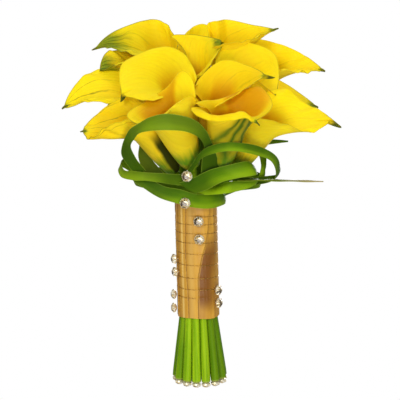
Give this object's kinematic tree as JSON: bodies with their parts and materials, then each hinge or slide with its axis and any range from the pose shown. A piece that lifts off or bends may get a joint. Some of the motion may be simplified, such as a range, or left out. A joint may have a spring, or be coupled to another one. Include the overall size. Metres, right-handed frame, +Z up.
{
  "type": "calla lily bouquet",
  "caption": "Hand-tied bridal bouquet of yellow calla lilies with strap-leaf loops, a satin ribbon handle wound with gold wire, crystal pins and bare green stems.",
  "frame": {"origin": "centre of the flat table of the crystal under the middle stem, where the bouquet stands", "axes": "+Z up along the handle towards the blooms, front of the bouquet towards -Y, its left bloom tips towards -X"},
  "size_m": [0.2741, 0.2207, 0.3651],
  "materials": {
    "petal": "satin",
    "stem": "satin",
    "leaf": "semi-gloss",
    "ribbon": "satin",
    "binding": "matte",
    "wire": "polished",
    "crystal": "polished"
  },
  "bodies": {
    "root": {"gold_wire": "wire", "leaf_arch_left": "leaf", "leaf_arch_right": "leaf", "leaf_back_left": "leaf", "leaf_back_right": "leaf", "leaf_band_left": "leaf", "leaf_blade": "leaf", "leaf_broad": "leaf", "leaf_collar": "leaf", "leaf_left_inner": "leaf", "leaf_right_small": "leaf", "leaf_tip_behind": "leaf", "leaf_under": "leaf", "pin_handle_1": "crystal", "pin_handle_10": "crystal", "pin_handle_2": "crystal", "pin_handle_3": "crystal", "pin_handle_4": "crystal", "pin_handle_5": "crystal", "pin_handle_6": "crystal", "pin_handle_7": "crystal", "pin_handle_8": "crystal", "pin_handle_9": "crystal", "pin_leaf_1": "crystal", "pin_leaf_2": "crystal", "ribbon_sleeve": "ribbon", "spathe_back_left": "petal", "spathe_back_right": "petal", "spathe_back_top": "petal", "spathe_centre": "petal", "spathe_centre_left": "petal", "spathe_centre_right": "petal", "spathe_front_left": "petal", "spathe_front_right": "petal", "spathe_low_left": "petal", "spathe_low_right": "petal", "spathe_mid_left": "petal", "spathe_middle": "petal", "spathe_top_left": "petal", "spathe_top_right": "petal", "spathe_upper_left": "petal", "spathe_upper_right": "petal", "stem_back_left": "stem", "stem_back_right": "stem", "stem_back_top": "stem", "stem_binding": "binding", "stem_centre": "stem", "stem_centre_left": "stem", "stem_centre_right": "stem", "stem_front_left": "stem", "stem_front_right": "stem", "stem_low_left": "stem", "stem_low_right": "stem", "stem_mid_left": "stem", "stem_middle": "stem", "stem_top_left": "stem", "stem_top_right": "stem", "stem_upper_left": "stem", "stem_upper_right": "stem"}
  },
  "joints": []
}
